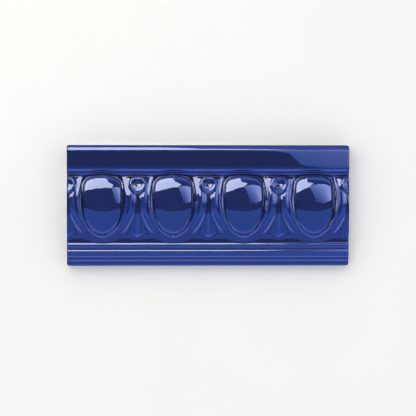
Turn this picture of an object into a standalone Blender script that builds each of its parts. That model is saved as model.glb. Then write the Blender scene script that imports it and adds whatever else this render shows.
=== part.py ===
"""Egg and dart moulding tile: one fired block, 152 x 65 mm, modelled face up on its flat back.

X runs along the tile, Y from its foot to its plain top band, and Z out of its face.
The tile is one closed body: a moulded bed, with eggs, shells, darts and dishes grown out of it.
"""

import math

import bmesh
import bpy
from mathutils import Vector

MM = 0.001

# The block
TILE_LENGTH = 152 * MM
TILE_WIDTH = 65 * MM
TILE_THICKNESS = 17 * MM
CORNER_RADIUS = 1.2 * MM
CORNER_STEPS = 4
ROUND_PROFILE = 0.5
END_OVERRUN = 8 * MM

# Levels of the moulded bed above the back
FOOT_LEVEL = 8.65 * MM
LOWER_STEP_LEVEL = 9.4 * MM
OVOLO_FOOT_LEVEL = 9.95 * MM
OVOLO_LEVEL = 10.65 * MM
BEAD_GROOVE_LEVEL = 10.1 * MM
HEM_GROOVE_LEVEL = 9.5 * MM
GROUND_FOOT_LEVEL = 9.3 * MM
GROUND_MIDDLE_LEVEL = 10.9 * MM
GROUND_LEVEL = 10.6 * MM
GROOVE_LEVEL = 9.7 * MM
FILLET_LEVEL = 12.0 * MM
BAND_LEVEL = 13.4 * MM

# Lines of the bed across the face, measured from the middle of the tile
FOOT_STEP_LINE = -29.75 * MM
OVOLO_STEP_LINE = -27.6 * MM
OVOLO_TOP_LINE = -25.1 * MM
BEAD_GROOVE_LINE = -23.4 * MM
HEM_GROOVE_LINE = -19.5 * MM
GROUND_START_LINE = -18.4 * MM
GROUND_MIDDLE_LINE = -6.0 * MM
GROUND_EVEN_LINE = -1.0 * MM
GROUND_END_LINE = 15.2 * MM
FILLET_LINE = 16.4 * MM
BAND_LINE = 18.9 * MM

# How the bed's edges and curves are rounded
STEP_HALF_RUN = 0.35 * MM
STEP_EASING = 0.25 * MM
FOOT_ARRIS_RADIUS = 0.8 * MM
BAND_FOOT_RADIUS = 1.2 * MM
BAND_ARRIS_RADIUS = 3.0 * MM
BAND_CROWN = 0.1 * MM
BEAD_CROWN = 0.95 * MM
OVOLO_CROWN = 0.2 * MM
FOOT_ARRIS_ANGLES = (180, 90)
FOOT_ARRIS_STEPS = 3
BAND_FOOT_ANGLES = (175, 100)
BAND_FOOT_STEPS = 4
BAND_ARRIS_ANGLES = (72, 0)
BAND_ARRIS_STEPS = 5
OVOLO_STEPS = 5
OVOLO_BACK_STEPS = 3
BEAD_STEPS = 8
BAND_STEPS = 6

# The eggs
EGG_COUNT = 4
PITCH = TILE_LENGTH / EGG_COUNT
EGG_HALF_WIDTH = 10.6 * MM
EGG_WIDEST_LINE = 0.7 * MM
EGG_REACH_UP = 19.5 * MM
EGG_REACH_DOWN = 16.2 * MM
EGG_TOP_LINE = 15.2 * MM
EGG_TOP_ROUND = 1.0 * MM
EGG_SQUARENESS = 0.3
EGG_DOME = 4.3 * MM
EGG_DOME_POWER = 2.0
EGG_RINGS = 28
EGG_SIDES = 48

# The shells: a fine rim line, a flank falling in under the egg, and a shoulder and skirt outside
RIM_HALF_WIDTH = 13.1 * MM
RIM_TOP_HALF_WIDTH = 11.8 * MM
RIM_WIDEST_LINE = 2.5 * MM
RIM_BOTTOM_LINE = -17.0 * MM
RIM_TOP_LINE = 14.9 * MM
RIM_CURVE_POWER = 1.8
RIM_CURVE_ROOT = 0.6
RIM_LEVEL = 13.7 * MM
RIM_HEIGHT = 0.35 * MM
RIM_HALF_THICKNESS = 0.5 * MM
RIM_INNER_DROP = 0.2 * MM
RIM_OUTER_RISE = 0.1 * MM
RIM_LEAN_POWER = 1.6
RIM_SLOPE_POWER = 1.5
INNER_RUN = 2.8 * MM
INNER_DROP = 1.3 * MM
SHOULDER_WIDTH = 2.3 * MM
SHOULDER_FOOT_WIDTH = 1.6 * MM
SHOULDER_RISE = 0.6 * MM
SHOULDER_FOOT_RISE = -0.35 * MM
OUTER_RUN = 2.2 * MM
OUTER_DROP = 1.0 * MM
SKIRT_RUN = 2.0 * MM
SKIRT_DROP = 2.9 * MM
SHELL_STATIONS_ARM = 5
SHELL_STATIONS_BOWL = 30

# The swell of the ornament across the tile, that the shells follow
SWELL = 2.2 * MM
SWELL_TURN = 8.0 * MM

# The darts: a narrow ridge above, a broad blade below
DART_TOP_LINE = 7.4 * MM
DART_NECK_LINE = -4.0 * MM
DART_CORNER_LINE = -14.0 * MM
DART_TIP_LINE = -17.0 * MM
DART_RIDGE_TOP_LEVEL = 12.1 * MM
DART_NECK_LEVEL = 12.7 * MM
DART_CORNER_LEVEL = 11.3 * MM
DART_TIP_LEVEL = 10.8 * MM
DART_TOP_HALF_WIDTH = 0.5 * MM
DART_NECK_HALF_WIDTH = 2.4 * MM
DART_CORNER_HALF_WIDTH = 4.4 * MM
DART_EDGE_DROP = 0.5 * MM
DART_WALL_RUN = 1.4 * MM
DART_WALL_FOOT_LEVEL = 9.6 * MM
DART_TIP_HALF_WIDTH = 0.5 * MM
DART_RIDGE_HALF_WIDTH = 0.2 * MM
DART_BLADE_SHARES = (0.3, 0.6, 1.0)
DART_SLOPE_POWER = 1.4

# The dishes between the tops of the shells
DISH_LINE = 11.5 * MM
DISH_BOSS_RADIUS = 4.35 * MM
DISH_BOSS_DROP = 0.5 * MM
DISH_RADIUS = 3.95 * MM
DISH_LEVEL = 13.2 * MM
DISH_STEP_RADIUS = 2.3 * MM
DISH_STEP_DEPTH = 0.6 * MM
DISH_FLOOR_RADIUS = 0.6 * MM
DISH_DEPTH = 1.3 * MM
DISH_LEAN = 0.14
DISH_SIDES = 26

# Everything grown out of the bed reaches down into it to this level
ROOT_LEVEL = 4.0 * MM
WELD_DISTANCE = 0.01 * MM
SAME_PLACE = 1e-6
SMOOTH_BELOW_DEGREES = 35

GLAZE_COLOUR = (0.018, 0.033, 0.160, 1.0)
GLAZE_ROUGHNESS = 0.08


def clear_scene():
    """Take every object out of the scene."""
    for thing in list(bpy.data.objects):
        bpy.data.objects.remove(thing, do_unlink=True)


def glaze_material():
    """Glossy deep blue glaze."""
    material = bpy.data.materials.new("blue_glaze")
    material.use_nodes = True
    shader = material.node_tree.nodes["Principled BSDF"]
    shader.inputs["Base Color"].default_value = GLAZE_COLOUR
    shader.inputs["Roughness"].default_value = GLAZE_ROUGHNESS
    shader.inputs["Metallic"].default_value = 0.0
    return material


def object_from(name, mesh_builder):
    """Turn a bmesh into a linked object with outward faces."""
    bmesh.ops.recalc_face_normals(mesh_builder, faces=mesh_builder.faces)
    mesh = bpy.data.meshes.new(name)
    mesh_builder.to_mesh(mesh)
    mesh_builder.free()
    thing = bpy.data.objects.new(name, mesh)
    bpy.context.scene.collection.objects.link(thing)
    return thing


def arc(centre, radius, angles, steps):
    """Points on a circle arc in the (y, z) plane, between a pair of angles in degrees."""
    start, end = angles
    points = []
    for step in range(steps + 1):
        angle = math.radians(start + (end - start) * step / steps)
        points.append((centre[0] + radius * math.cos(angle), centre[1] + radius * math.sin(angle)))
    return points


def bow(start, end, crown, steps):
    """A stretch of the section between two (y, z) points that bulges by crown half way."""
    points = []
    for step in range(steps + 1):
        share = step / steps
        y = start[0] + (end[0] - start[0]) * share
        z = start[1] + (end[1] - start[1]) * share + crown * math.sin(math.pi * share)
        points.append((y, z))
    return points


def riser(line, low, high):
    """A step at line from one level up to another, with its foot and its edge eased."""
    return [
        (line - STEP_HALF_RUN, low),
        (line - STEP_HALF_RUN + STEP_EASING, low + STEP_EASING),
        (line + STEP_HALF_RUN - STEP_EASING, high - STEP_EASING),
        (line + STEP_HALF_RUN, high),
    ]


def foot_section():
    """The stepped foot, the ovolo and the round bead, up to the groove under the eggs."""
    foot = -TILE_WIDTH / 2
    ovolo_foot = (OVOLO_STEP_LINE + STEP_HALF_RUN, OVOLO_FOOT_LEVEL)
    ovolo_top = (OVOLO_TOP_LINE, OVOLO_LEVEL)
    groove = (BEAD_GROOVE_LINE, BEAD_GROOVE_LEVEL)
    arris = (foot + FOOT_ARRIS_RADIUS, FOOT_LEVEL - FOOT_ARRIS_RADIUS)
    points = [(foot, 0.0)]
    points += arc(arris, FOOT_ARRIS_RADIUS, FOOT_ARRIS_ANGLES, FOOT_ARRIS_STEPS)
    points += riser(FOOT_STEP_LINE, FOOT_LEVEL, LOWER_STEP_LEVEL)
    points += riser(OVOLO_STEP_LINE, LOWER_STEP_LEVEL, OVOLO_FOOT_LEVEL)[:-1]
    points += bow(ovolo_foot, ovolo_top, OVOLO_CROWN, OVOLO_STEPS)
    points += bow(ovolo_top, groove, OVOLO_CROWN / 2, OVOLO_BACK_STEPS)[1:]
    points += bow(groove, (HEM_GROOVE_LINE, HEM_GROOVE_LEVEL), BEAD_CROWN, BEAD_STEPS)[1:]
    return points


def band_section():
    """The groove over the eggs, the fillet and the plain top band with its round arris."""
    top = TILE_WIDTH / 2
    arris = BAND_ARRIS_RADIUS
    foot = BAND_FOOT_RADIUS
    points = [(GROUND_END_LINE, GROUND_LEVEL)]
    points += [(GROUND_END_LINE + STEP_EASING, GROOVE_LEVEL)]
    points += riser(FILLET_LINE, GROOVE_LEVEL, FILLET_LEVEL)
    points += [(BAND_LINE, FILLET_LEVEL)]
    points += arc((BAND_LINE + foot, BAND_LEVEL - foot), foot, BAND_FOOT_ANGLES, BAND_FOOT_STEPS)
    points += bow((BAND_LINE + 2 * foot, BAND_LEVEL), (top - arris, BAND_LEVEL), BAND_CROWN, BAND_STEPS)
    points += arc((top - arris, BAND_LEVEL - arris), arris, BAND_ARRIS_ANGLES, BAND_ARRIS_STEPS)
    points += [(top, 0.0)]
    return points


def ground_section():
    """The ground under the eggs, rising from the foot and then level."""
    return [
        (GROUND_START_LINE, GROUND_FOOT_LEVEL),
        (GROUND_MIDDLE_LINE, GROUND_MIDDLE_LEVEL),
        (GROUND_EVEN_LINE, GROUND_LEVEL),
    ]


def bed_section():
    """The whole moulded section from the foot of the face to the top band, in (y, z)."""
    return foot_section() + ground_section() + band_section()


def build_bed():
    """Draw the section past one end and extrude it past the other, to be trimmed later."""
    shape = bmesh.new()
    start = -TILE_LENGTH / 2 - END_OVERRUN
    section = [shape.verts.new((start, y, z)) for y, z in bed_section()]
    face = shape.faces.new(section)
    grown = bmesh.ops.extrude_face_region(shape, geom=[face])
    moved = [item for item in grown["geom"] if isinstance(item, bmesh.types.BMVert)]
    bmesh.ops.translate(shape, verts=moved, vec=(TILE_LENGTH + 2 * END_OVERRUN, 0.0, 0.0))
    return object_from("bed", shape)


def is_upright(edge):
    """Whether an edge stands on the back at one of the four corners of the tile."""
    low, high = edge.verts[0].co, edge.verts[1].co
    same_place = abs(low.x - high.x) < SAME_PLACE and abs(low.y - high.y) < SAME_PLACE
    return same_place and abs(low.z - high.z) > SAME_PLACE


def egg_point(direction):
    """Place one point of a unit dome on the egg: longer and squarer above, cut round on top."""
    reach = EGG_REACH_UP if direction.y > 0 else EGG_REACH_DOWN
    y = EGG_WIDEST_LINE + reach * direction.y
    over = y - (EGG_TOP_LINE - EGG_TOP_ROUND)
    if over > 0:
        y = EGG_TOP_LINE - EGG_TOP_ROUND + EGG_TOP_ROUND * math.tanh(over / EGG_TOP_ROUND)
    x = EGG_HALF_WIDTH * direction.x * (1 + EGG_SQUARENESS * max(direction.y, 0.0) ** 2)
    crown = EGG_DOME * max(direction.z, 0.0) ** EGG_DOME_POWER
    return Vector((x, y, TILE_THICKNESS - EGG_DOME + crown))


def build_egg(centre):
    """One egg: the upper half of a sphere made into a low dome, on an upright skirt."""
    shape = bmesh.new()
    bmesh.ops.create_uvsphere(shape, u_segments=EGG_SIDES, v_segments=EGG_RINGS, radius=1.0)
    lower = [vertex for vertex in shape.verts if vertex.co.z < -SAME_PLACE]
    bmesh.ops.delete(shape, geom=lower, context="VERTS")
    for vertex in shape.verts:
        vertex.co = egg_point(vertex.co) + Vector((centre, 0.0, 0.0))
    hem = [edge for edge in shape.edges if edge.is_boundary]
    grown = bmesh.ops.extrude_edge_only(shape, edges=hem)
    foot = [item for item in grown["geom"] if isinstance(item, bmesh.types.BMVert)]
    for vertex in foot:
        vertex.co.z = ROOT_LEVEL
    bmesh.ops.holes_fill(shape, edges=[edge for edge in shape.edges if edge.is_boundary])
    return object_from("egg", shape)


def rim_line():
    """The plan of a shell's rim, from the top of its left arm round the bowl to its right arm."""
    right = []
    for step in range(SHELL_STATIONS_ARM):
        share = 1 - step / SHELL_STATIONS_ARM
        y = RIM_WIDEST_LINE + (RIM_TOP_LINE - RIM_WIDEST_LINE) * share
        lean = (RIM_HALF_WIDTH - RIM_TOP_HALF_WIDTH) * share ** RIM_LEAN_POWER
        right.append((RIM_HALF_WIDTH - lean, y))
    drop = RIM_WIDEST_LINE - RIM_BOTTOM_LINE
    half = SHELL_STATIONS_BOWL // 2
    for step in range(half + 1):
        share = math.sin(0.5 * math.pi * step / half)
        x = RIM_HALF_WIDTH * (1 - share ** RIM_CURVE_POWER) ** RIM_CURVE_ROOT
        right.append((x, RIM_WIDEST_LINE - drop * share))
    left = [(-x, y) for x, y in right[:-1]]
    return left + right[::-1]


def swell_fall(y):
    """How far the ornament lies below its summit: a hyperbola over the distance from the middle."""
    return SWELL * (math.sqrt(1 + (y / SWELL_TURN) ** 2) - 1)


def shell_section(y, low):
    """A shell's section at the line y, low = 0 on the arms and 1 at the foot: (distance out, z)."""
    line = RIM_LEVEL - swell_fall(y)
    width = SHOULDER_WIDTH + (SHOULDER_FOOT_WIDTH - SHOULDER_WIDTH) * low
    lip = line + SHOULDER_RISE + (SHOULDER_FOOT_RISE - SHOULDER_RISE) * low
    skirt = width + OUTER_RUN + SKIRT_RUN
    return [
        (-INNER_RUN, ROOT_LEVEL),
        (-INNER_RUN, line - INNER_DROP),
        (-RIM_HALF_THICKNESS, line - RIM_INNER_DROP),
        (0.0, line + RIM_HEIGHT),
        (RIM_HALF_THICKNESS, line + RIM_OUTER_RISE),
        (width, lip),
        (width + OUTER_RUN, lip - OUTER_DROP),
        (skirt, lip - OUTER_DROP - SKIRT_DROP),
        (skirt, ROOT_LEVEL),
    ]


def build_shell(centre):
    """One shell: its section carried round the egg and closed at both tops."""
    shape = bmesh.new()
    line = [Vector((x, y, 0.0)) for x, y in rim_line()]
    rings = []
    for index, point in enumerate(line):
        before = line[max(index - 1, 0)]
        after = line[min(index + 1, len(line) - 1)]
        along = (after - before).normalized()
        outward = Vector((along.y, -along.x, 0.0))
        low = max(0.0, (RIM_WIDEST_LINE - point.y) / (RIM_WIDEST_LINE - RIM_BOTTOM_LINE))
        ring = []
        for distance, level in shell_section(point.y, low ** RIM_SLOPE_POWER):
            place = point + outward * distance
            ring.append(shape.verts.new((centre + place.x, place.y, level)))
        rings.append(ring)
    for first, second in zip(rings, rings[1:]):
        skin(shape, first, second)
    shape.faces.new(rings[0])
    shape.faces.new(rings[-1][::-1])
    return object_from("shell", shape)


def skin(shape, first, second):
    """Join two rings of equal length with four-sided faces."""
    count = len(first)
    for index in range(count):
        following = (index + 1) % count
        shape.faces.new((first[index], first[following], second[following], second[index]))


def dart_stations():
    """Stations down a dart: (y, ridge level, half width)."""
    blade_length = DART_NECK_LINE - DART_CORNER_LINE
    stations = [
        (DART_TOP_LINE, DART_RIDGE_TOP_LEVEL, DART_TOP_HALF_WIDTH),
        (DART_NECK_LINE, DART_NECK_LEVEL, DART_NECK_HALF_WIDTH),
    ]
    for share in DART_BLADE_SHARES:
        level = DART_NECK_LEVEL + (DART_CORNER_LEVEL - DART_NECK_LEVEL) * share ** DART_SLOPE_POWER
        width = DART_NECK_HALF_WIDTH + (DART_CORNER_HALF_WIDTH - DART_NECK_HALF_WIDTH) * share
        stations.append((DART_NECK_LINE - blade_length * share, level, width))
    stations.append((DART_TIP_LINE, DART_TIP_LEVEL, DART_TIP_HALF_WIDTH))
    return stations


def build_dart(centre):
    """One dart: a ridge that widens into a blade with a pointed foot."""
    shape = bmesh.new()
    rings = []
    for y, level, half_width in dart_stations():
        edge = level - DART_EDGE_DROP
        section = [
            (-half_width - DART_WALL_RUN, ROOT_LEVEL),
            (-half_width - DART_WALL_RUN, DART_WALL_FOOT_LEVEL),
            (-half_width, edge),
            (-DART_RIDGE_HALF_WIDTH, level),
            (DART_RIDGE_HALF_WIDTH, level),
            (half_width, edge),
            (half_width + DART_WALL_RUN, DART_WALL_FOOT_LEVEL),
            (half_width + DART_WALL_RUN, ROOT_LEVEL),
        ]
        rings.append([shape.verts.new((centre + x, y, z)) for x, z in section])
    for first, second in zip(rings, rings[1:]):
        skin(shape, first, second)
    shape.faces.new(rings[0])
    shape.faces.new(rings[-1][::-1])
    return object_from("dart", shape)


def build_dish(centre):
    """One dish: a turned boss with a hollow in its face, which leans toward the top band."""
    profile = [
        (DISH_BOSS_RADIUS, ROOT_LEVEL),
        (DISH_BOSS_RADIUS, DISH_LEVEL - DISH_BOSS_DROP),
        (DISH_RADIUS, DISH_LEVEL),
        (DISH_STEP_RADIUS, DISH_LEVEL - DISH_STEP_DEPTH),
        (DISH_FLOOR_RADIUS, DISH_LEVEL - DISH_DEPTH),
    ]
    shape = bmesh.new()
    outline = [shape.verts.new((centre + radius, DISH_LINE, level)) for radius, level in profile]
    edges = [shape.edges.new(pair) for pair in zip(outline, outline[1:])]
    bmesh.ops.spin(shape, geom=outline + edges, cent=(centre, DISH_LINE, 0.0), axis=(0.0, 0.0, 1.0),
                   angle=2 * math.pi, steps=DISH_SIDES, use_merge=True)
    bmesh.ops.remove_doubles(shape, verts=shape.verts, dist=WELD_DISTANCE)
    bmesh.ops.holes_fill(shape, edges=[edge for edge in shape.edges if edge.is_boundary])
    for vertex in shape.verts:
        vertex.co.z -= DISH_LEAN * (vertex.co.y - DISH_LINE)
    return object_from("dish", shape)


def build_blank():
    """The block that trims everything to the two ends of the tile."""
    shape = bmesh.new()
    bmesh.ops.create_cube(shape, size=1.0)
    size = Vector((TILE_LENGTH, TILE_WIDTH, 2 * TILE_THICKNESS))
    bmesh.ops.scale(shape, verts=shape.verts, vec=size)
    uprights = [edge for edge in shape.edges if is_upright(edge)]
    bmesh.ops.bevel(shape, geom=uprights, offset=CORNER_RADIUS, segments=CORNER_STEPS,
                     profile=ROUND_PROFILE, affect="EDGES")
    return object_from("blank", shape)


def combine(body, tool, operation):
    """Bake one Boolean into body and take the tool away."""
    step = body.modifiers.new("join", "BOOLEAN")
    step.operation = operation
    step.solver = "EXACT"
    step.object = tool
    graph = bpy.context.evaluated_depsgraph_get()
    baked = bpy.data.meshes.new_from_object(body.evaluated_get(graph))
    body.modifiers.remove(step)
    body.data = baked
    bpy.data.objects.remove(tool, do_unlink=True)


def build_tile():
    """Grow the ornament out of the bed and trim it to the block."""
    tile = build_bed()
    first_egg = -TILE_LENGTH / 2 + PITCH / 2
    for index in range(EGG_COUNT + 1):
        between = first_egg + PITCH * (index - 0.5)
        combine(tile, build_dart(between), "UNION")
        combine(tile, build_dish(between), "UNION")
    for index in range(EGG_COUNT):
        centre = first_egg + PITCH * index
        combine(tile, build_shell(centre), "UNION")
        combine(tile, build_egg(centre), "UNION")
    combine(tile, build_blank(), "INTERSECT")
    tile.name = "moulding_tile"
    tile.data.name = "moulding_tile"
    tile.data.materials.clear()
    tile.data.materials.append(glaze_material())
    tile.data.shade_smooth()
    tile.data.set_sharp_from_angle(angle=math.radians(SMOOTH_BELOW_DEGREES))


clear_scene()
build_tile()
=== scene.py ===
"""Glazed egg and dart moulding tile: its moulded and glazed surface, and the studio round it.

The tile lies face up on its flat back. X runs along it, Y from its stepped foot to its plain top
band, and Z out of its face. The classes hold their sizes in millimetres, and a mesh is brought to
metres when it is made.
"""

import logging
import math
from collections.abc import Iterable
from dataclasses import dataclass, field
from enum import Enum

import bpy
import numpy as np
from mathutils import Matrix, Vector


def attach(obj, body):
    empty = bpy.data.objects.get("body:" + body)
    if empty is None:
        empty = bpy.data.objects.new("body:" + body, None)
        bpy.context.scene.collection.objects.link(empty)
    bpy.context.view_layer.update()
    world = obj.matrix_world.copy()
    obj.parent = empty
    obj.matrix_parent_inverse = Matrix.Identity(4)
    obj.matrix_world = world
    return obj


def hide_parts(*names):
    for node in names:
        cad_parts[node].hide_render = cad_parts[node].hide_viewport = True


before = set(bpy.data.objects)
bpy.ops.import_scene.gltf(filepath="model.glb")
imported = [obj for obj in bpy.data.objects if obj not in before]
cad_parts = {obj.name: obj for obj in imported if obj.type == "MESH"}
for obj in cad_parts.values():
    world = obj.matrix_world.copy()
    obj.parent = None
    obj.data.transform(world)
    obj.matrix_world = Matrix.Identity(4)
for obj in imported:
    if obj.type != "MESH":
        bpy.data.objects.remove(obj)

MM = 0.001
CAD_NODE = "moulding_tile"
BODY = "root"
LOG = logging.getLogger("moulding_tile")

Colour = tuple[float, float, float]
Point = tuple[float, float, float]


class Layer(Enum):
    """The vertex attributes that carry the glazing over the surface."""

    # How thick the glaze stands, from how hollow the face is; its thick end also carries painted shade in
    # the hollows.
    GLAZE_DEPTH = "glaze_depth"
    GLAZE_COVER = "glaze_cover"
    GLAZE_RUN = "glaze_run"


class Face(Enum):
    """The material slots of the tile's mesh, in order."""

    GLAZED = 0
    BARE = 1


def soft_max(first: np.ndarray, second: np.ndarray, fillet: float) -> np.ndarray:
    """Join two height fields with a filleted valley.

    The result is half of the sum and of the root of the squared difference plus the squared fillet.

    Args:
        first: Heights of one form, in mm.
        second: Heights of the other form, in mm.
        fillet: How much the valley is filled, in mm.

    Returns:
        The joined heights.
    """
    return 0.5 * (first + second + np.sqrt((first - second) ** 2 + fillet ** 2))


def soft_min(first: np.ndarray, second: np.ndarray, fillet: float) -> np.ndarray:
    """Cut one height field by another with a rounded edge, the mirror of soft_max.

    Args:
        first: Heights of one form, in mm.
        second: Heights of the other form, in mm.
        fillet: How much the edge is rounded, in mm.

    Returns:
        The cut heights.
    """
    return -soft_max(-first, -second, fillet)


def hump(distance: np.ndarray, reach: float) -> np.ndarray:
    """A bell curve that is 1 at no distance: e to the minus half of (distance / reach) squared.

    Args:
        distance: Distances from its middle.
        reach: The distance at which its slope is steepest.

    Returns:
        Values from 0 to 1.
    """
    return np.exp(-0.5 * (distance / reach) ** 2)


def blurred(heights: np.ndarray, reach: float, axis: int) -> np.ndarray:
    """Soften a grid along one axis with a bell-shaped running mean.

    Args:
        heights: The grid.
        reach: Standard deviation of the bell, in cells.
        axis: The axis to run along.

    Returns:
        The softened grid, of the same size.
    """
    half = int(math.ceil(3 * reach))
    weights = hump(np.arange(-half, half + 1, dtype=float), reach)
    weights /= weights.sum()
    widths = [(0, 0), (0, 0)]
    widths[axis] = (half, half)
    padded = np.pad(heights, widths, mode="edge")
    return np.apply_along_axis(np.convolve, axis, padded, weights, "valid")


def soften(heights: np.ndarray, reach: float) -> np.ndarray:
    """Soften a grid both along and across.

    Args:
        heights: The grid.
        reach: Standard deviation of the bell, in cells.

    Returns:
        The softened grid.
    """
    return blurred(blurred(heights, reach, axis=1), reach, axis=0)


@dataclass
class Block:
    """The plan of the tile and the rounding of its rims, in mm."""

    length: float = 152.0
    width: float = 65.0
    corner_radius: float = 1.2
    end_round: float = 1.1
    egg_count: int = 4

    @property
    def pitch(self) -> float:
        """The length that one egg and one dart take up."""
        return self.length / self.egg_count


@dataclass
class Spine:
    """The gentle swell that the whole ornament follows across the tile.

    It falls away from its summit as a hyperbola: the fall is swell times (root of one plus the
    squared distance over the squared turn, less one), and the swell is stronger toward the foot.
    """

    summit_line: float = -2.0
    swell_up: float = 2.7
    swell_down: float = 2.8
    turn: float = 8.0

    def fall(self, v: np.ndarray) -> np.ndarray:
        """How far the ornament lies below its summit.

        Args:
            v: Lines across the tile, in mm from its middle.

        Returns:
            The fall in mm.
        """
        swell = np.where(v > self.summit_line, self.swell_up, self.swell_down)
        return swell * (np.sqrt(1 + ((v - self.summit_line) / self.turn) ** 2) - 1)


@dataclass
class Bed:
    """The moulded section under the ornament, from the stepped foot to the top band."""

    foot_level: float = 8.62
    step_level: float = 9.38
    ovolo_foot_level: float = 9.85
    ovolo_level: float = 10.5
    bead_groove_level: float = 9.95
    bead_foot_level: float = 10.1
    bead_level: float = 10.64
    bead_back_level: float = 10.1
    ground_foot_level: float = 9.85
    ground_middle_level: float = 10.9
    ground_level: float = 10.6
    groove_level: float = 9.5
    fillet_level: float = 12.2
    band_level: float = 13.4
    foot_step_line: float = -29.75
    ovolo_step_line: float = -27.63
    ovolo_front_line: float = -25.7
    ovolo_back_line: float = -24.75
    bead_groove_line: float = -23.75
    bead_foot_line: float = -22.75
    bead_front_line: float = -22.2
    bead_top_line: float = -21.1
    bead_back_line: float = -20.2
    ground_line: float = -18.0
    ground_middle_line: float = -6.0
    ground_end_line: float = 7.0
    groove_line: float = 13.0
    fillet_line: float = 16.3
    band_line: float = 18.9
    band_middle_line: float = 25.0
    band_flat_reach: float = 3.5
    band_turn_radius: float = 17.0
    band_lean: float = 0.022
    band_steps: int = 27
    band_arris_radius: float = 2.75
    foot_arris_radius: float = 0.8
    bead_groove_width: float = 0.4
    bead_groove_dip: float = 0.02
    bead_front_drop: float = 0.05
    ground_crown_width: float = 5.0
    fillet_front_drop: float = 0.4
    fillet_back_rise: float = 0.1
    tread_lean: float = 0.05
    riser: float = 0.3
    softness: float = 0.12

    def corners(self, block: Block) -> list[tuple[float, float]]:
        """The section's own points, foot to band, before any rounding.

        The band is straight in its middle, and past band_flat_reach on both sides of it falls
        away as a parabola.

        Args:
            block: The plan of the tile.

        Returns:
            Pairs of a line across the tile and the height there, in mm.
        """
        rim = 0.5 * block.width
        half = 0.5 * self.riser
        across = np.linspace(self.band_line + half, rim, self.band_steps)
        past = np.clip(np.abs(across - self.band_middle_line) - self.band_flat_reach, 0.0, None)
        bowed = self.band_level + self.band_lean * (across - self.band_middle_line)
        bowed = bowed - past ** 2 / (2 * self.band_turn_radius)
        foot_edge, step_edge = self.foot_step_line - half, self.ovolo_step_line - half
        foot_rise = self.tread_lean * (foot_edge + rim)
        step_rise = self.tread_lean * (step_edge - self.foot_step_line)
        groove_end_line = self.bead_groove_line + self.bead_groove_width
        return [
            (-rim, self.foot_level + foot_rise),
            (foot_edge, self.foot_level),
            (self.foot_step_line + half, self.step_level + step_rise),
            (step_edge, self.step_level),
            (self.ovolo_step_line + half, self.ovolo_foot_level),
            (self.ovolo_front_line, self.ovolo_level),
            (self.ovolo_back_line, self.ovolo_level),
            (self.bead_groove_line, self.bead_groove_level),
            (groove_end_line, self.bead_groove_level - self.bead_groove_dip),
            (self.bead_foot_line, self.bead_foot_level),
            (self.bead_front_line, self.bead_level - self.bead_front_drop),
            (self.bead_top_line, self.bead_level),
            (self.bead_back_line, self.bead_back_level),
            (self.ground_line, self.ground_foot_level),
            (self.ground_middle_line, self.ground_middle_level),
            (self.ground_middle_line + self.ground_crown_width, self.ground_level),
            (self.ground_end_line, self.ground_level),
            (self.groove_line, self.groove_level),
            (self.fillet_line - half, self.groove_level),
            (self.fillet_line + half, self.fillet_level - self.fillet_front_drop),
            (self.band_line - half, self.fillet_level + self.fillet_back_rise),
            *zip(across, bowed),
        ]

    def section(self, v: np.ndarray, block: Block) -> np.ndarray:
        """Height of the bed at each line across the tile.

        Straight runs between the corners are softened by a bell, and both outer rims are turned
        down as quarter circles.

        Args:
            v: Lines across the tile, in mm, evenly spaced.
            block: The plan of the tile.

        Returns:
            Heights in mm.
        """
        lines, levels = np.array(self.corners(block)).T
        spacing = v[1] - v[0]
        z = np.interp(v, lines, levels)[:, None]
        z = blurred(z, self.softness / spacing, axis=0)[:, 0]
        top = 0.5 * block.width
        z = z - quarter_round(top - v, self.band_arris_radius)
        return z - quarter_round(top + v, self.foot_arris_radius)


def quarter_round(inside: np.ndarray, radius: float) -> np.ndarray:
    """How far a rim is turned down: radius less the root of its square less the missing square.

    Args:
        inside: Distances in from the rim, in mm.
        radius: The radius of the rounding, in mm.

    Returns:
        The fall in mm, nothing further in than the radius.
    """
    missing = np.clip(radius - np.clip(inside, 0.0, None), 0.0, radius)
    return radius - np.sqrt(radius ** 2 - missing ** 2)


@dataclass
class Egg:
    """One egg: a low dome, longer above its widest line and squarish on top, with a round edge."""

    summit_level: float = 16.98
    half_width: float = 10.3
    dome_half_width: float = 10.6
    widest_line: float = 0.7
    reach_up: float = 21.5
    reach_down: float = 16.0
    top_reach: float = 14.9
    corner_power: float = 8.0
    dome: float = 4.3
    up_power: float = 2.6
    bow_radius: float = 100.0
    brow_drop: float = 0.25
    brow_reach: float = 13.2
    brow_power: float = 9.7
    wall_slope: float = 4.5
    edge_start: float = 0.985
    edge_turn: float = 0.015
    dome_limit: float = 1.2

    def heights(self, u: np.ndarray, v: np.ndarray) -> np.ndarray:
        """Heights of the egg and of the wall that falls away round it.

        The dome falls by its height times (the squared share of the half width plus the share of
        the reach to its power), up to dome_limit. Above the widest line it falls further by the
        squared distance over twice bow_radius, and its brow by a high power. A steep wall takes
        over where the plan ends, and the plan is a squarish curve of corner_power above the
        widest line. The wall starts at edge_start of the plan and grows steep over edge_turn, as
        the squared distance over the distance plus edge_turn.

        Args:
            u: Distance from the egg's middle along the tile, in mm.
            v: Lines across the tile, in mm.

        Returns:
            Heights in mm.
        """
        above = np.clip(v - self.widest_line, 0.0, None)
        below = np.clip(self.widest_line - v, 0.0, None)
        low = (below / self.reach_down) ** 2
        plan = (u / self.half_width) ** 2 + (above / self.top_reach) ** self.corner_power + low
        outside = np.clip(np.sqrt(plan) - self.edge_start, 0.0, 1.0)
        outside = outside ** 2 / (outside + self.edge_turn)
        along = (above / self.reach_up) ** self.up_power + low
        across = (u / self.dome_half_width) ** 2
        z = self.summit_level - self.dome * np.clip(across + along, 0.0, self.dome_limit)
        z = z - above ** 2 / (2 * self.bow_radius)
        z = z - self.brow_drop * (above / self.brow_reach) ** self.brow_power
        return z - self.wall_slope * self.half_width * outside


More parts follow.
